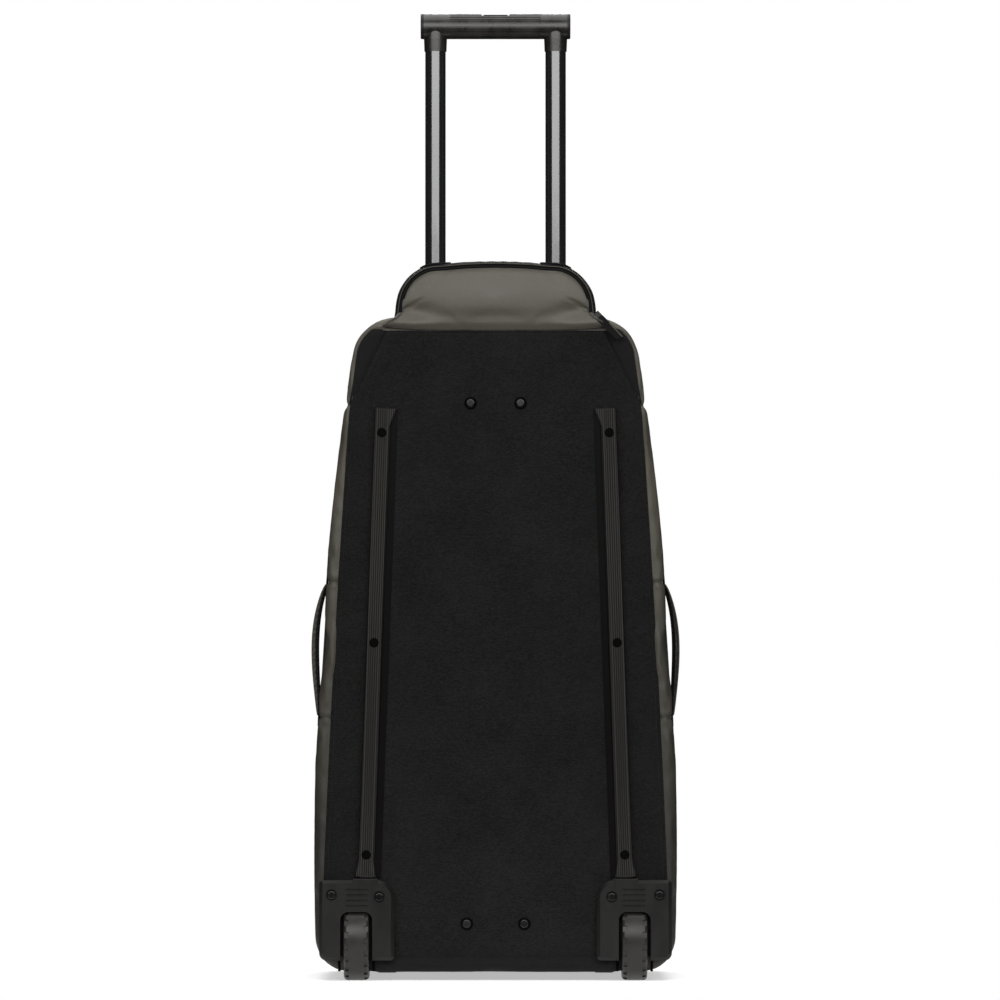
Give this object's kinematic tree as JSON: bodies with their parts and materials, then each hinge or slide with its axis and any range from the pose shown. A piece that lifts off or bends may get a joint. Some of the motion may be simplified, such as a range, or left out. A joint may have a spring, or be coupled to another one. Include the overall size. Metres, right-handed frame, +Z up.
{
  "type": "rolling duffel bag",
  "caption": "Upright rolling duffel bag with a pull-up trolley handle, skid rails, inset wheels, side handles, an arched top pocket and a fold-down zipped lid.",
  "frame": {"origin": "on the floor, in the middle of the bag's box", "axes": "+Z up, +Y towards the lid at the front, +X to the right seen from the back"},
  "size_m": [0.3948, 0.3292, 1.038],
  "materials": {
    "black_canvas": "coarse canvas weave",
    "black_fabric": "plain weave",
    "olive_fabric": "coated fabric, faint sheen",
    "handle_webbing": "ribbed webbing, padded",
    "zip_tape": "woven tape with coil teeth",
    "zip_metal": "satin black",
    "puller_rubber": "moulded",
    "rail_plastic": "satin moulded",
    "housing_plastic": "fine grain",
    "board_plastic": "sheet",
    "screw_steel": "black oxide",
    "bright_steel": "turned",
    "bare_aluminium": "drawn tube",
    "tube_black": "gloss black",
    "grip_plastic": "satin metallic",
    "tyre_rubber": "smooth tread",
    "hub_plastic": "moulded"
  },
  "bodies": {
    "bag": {"back_panel": "black_canvas", "corner_patch_left": "black_fabric", "corner_patch_right": "black_fabric", "top_panel": "olive_fabric", "bottom_panel": "black_fabric", "front_frame": "olive_fabric", "side_panel_lower_left": "olive_fabric", "side_panel_lower_right": "olive_fabric", "side_panel_handle_left": "olive_fabric", "side_panel_handle_right": "olive_fabric", "side_panel_upper_left": "olive_fabric", "side_panel_upper_right": "olive_fabric", "frame_board": "board_plastic", "trolley_cover": "black_fabric", "top_pocket_face": "olive_fabric", "top_pocket_gusset": "black_fabric", "top_pocket_zipper": "zip_tape", "top_pocket_slider": "zip_metal", "skid_rail_left": "rail_plastic", "skid_rail_right": "rail_plastic", "rail_screws": "screw_steel", "domed_screws": "screw_steel", "wheel_housing_left": "housing_plastic", "wheel_housing_right": "housing_plastic", "wheel_axle_left": "bright_steel", "wheel_axle_right": "bright_steel", "axle_spacers": "bright_steel", "outer_tube_left": "bare_aluminium", "outer_tube_right": "bare_aluminium", "tube_bezels": "housing_plastic", "lower_tube_bracket": "housing_plastic", "upper_tube_bracket": "housing_plastic", "front_foot_left": "rail_plastic", "front_foot_right": "rail_plastic", "side_handle_left": "handle_webbing", "side_handle_right": "handle_webbing", "frame_zip_tape": "zip_tape"},
    "trolley": {"inner_tube_left": "tube_black", "inner_tube_right": "tube_black", "grip_body": "grip_plastic", "grip_end_caps": "grip_plastic", "lock_blocks": "housing_plastic", "button_spring": "bright_steel"},
    "release": {"release_button": "grip_plastic", "push_rods": "bright_steel"},
    "lock_pins": {"lock_pins": "bright_steel"},
    "wheel_left": {"tyre_left": "tyre_rubber", "wheel_hub_left": "hub_plastic", "wheel_bearings_left": "bright_steel"},
    "wheel_right": {"tyre_right": "tyre_rubber", "wheel_hub_right": "hub_plastic", "wheel_bearings_right": "bright_steel"},
    "lid": {"lid_panel": "olive_fabric", "lid_zip_tape": "zip_tape", "front_pocket": "olive_fabric", "lid_slider": "zip_metal", "front_pocket_slider": "zip_metal"},
    "lid_puller": {"lid_puller": "puller_rubber"},
    "front_pocket_puller": {"front_pocket_puller": "puller_rubber"},
    "top_pocket_puller": {"top_pocket_puller": "puller_rubber"}
  },
  "joints": [
    {"name": "trolley_slide", "type": "slide", "parent": "bag", "child": "trolley", "axis": [0, 0, 1], "range_m": [-0.225, 0]},
    {"name": "button_press", "type": "slide", "parent": "trolley", "child": "release", "axis": [0, 0, 1], "range_m": [-0.004, 0], "stiffness_N_per_m": 1500, "springref_m": 0.0015, "deforming": ["button_spring"]},
    {"name": "pin_draw", "type": "slide", "parent": "trolley", "child": "lock_pins", "axis": [0, 1, 0], "range_m": [0, 0.0025]},
    {"name": "wheel_left_spin", "type": "hinge", "parent": "bag", "child": "wheel_left", "pos_m": [-0.149, -0.1216, 0.043], "axis": [1, 0, 0], "continuous": true},
    {"name": "wheel_right_spin", "type": "hinge", "parent": "bag", "child": "wheel_right", "pos_m": [0.149, -0.1216, 0.043], "axis": [1, 0, 0], "continuous": true},
    {"name": "lid_fold", "type": "hinge", "parent": "bag", "child": "lid", "pos_m": [0, 0.1464, 0.04], "axis": [-1, 0, 0], "range_deg": [0, 90]},
    {"name": "lid_puller_swing", "type": "hinge", "parent": "lid", "child": "lid_puller", "pos_m": [0, 0.152, 0.634], "axis": [1, 0, 0], "range_deg": [0, 150]},
    {"name": "front_pocket_puller_swing", "type": "hinge", "parent": "lid", "child": "front_pocket_puller", "pos_m": [0.0888, 0.1635, 0.346], "axis": [1, 0, 0], "range_deg": [0, 150]},
    {"name": "top_pocket_puller_swing", "type": "hinge", "parent": "bag", "child": "top_pocket_puller", "pos_m": [0.111, -0.1517, 0.711], "axis": [-0.7071, 0, -0.7071], "range_deg": [0, 120]}
  ],
  "couplings": [
    {"joint": "pin_draw", "follows": "button_press", "ratio": -0.625}
  ]
}
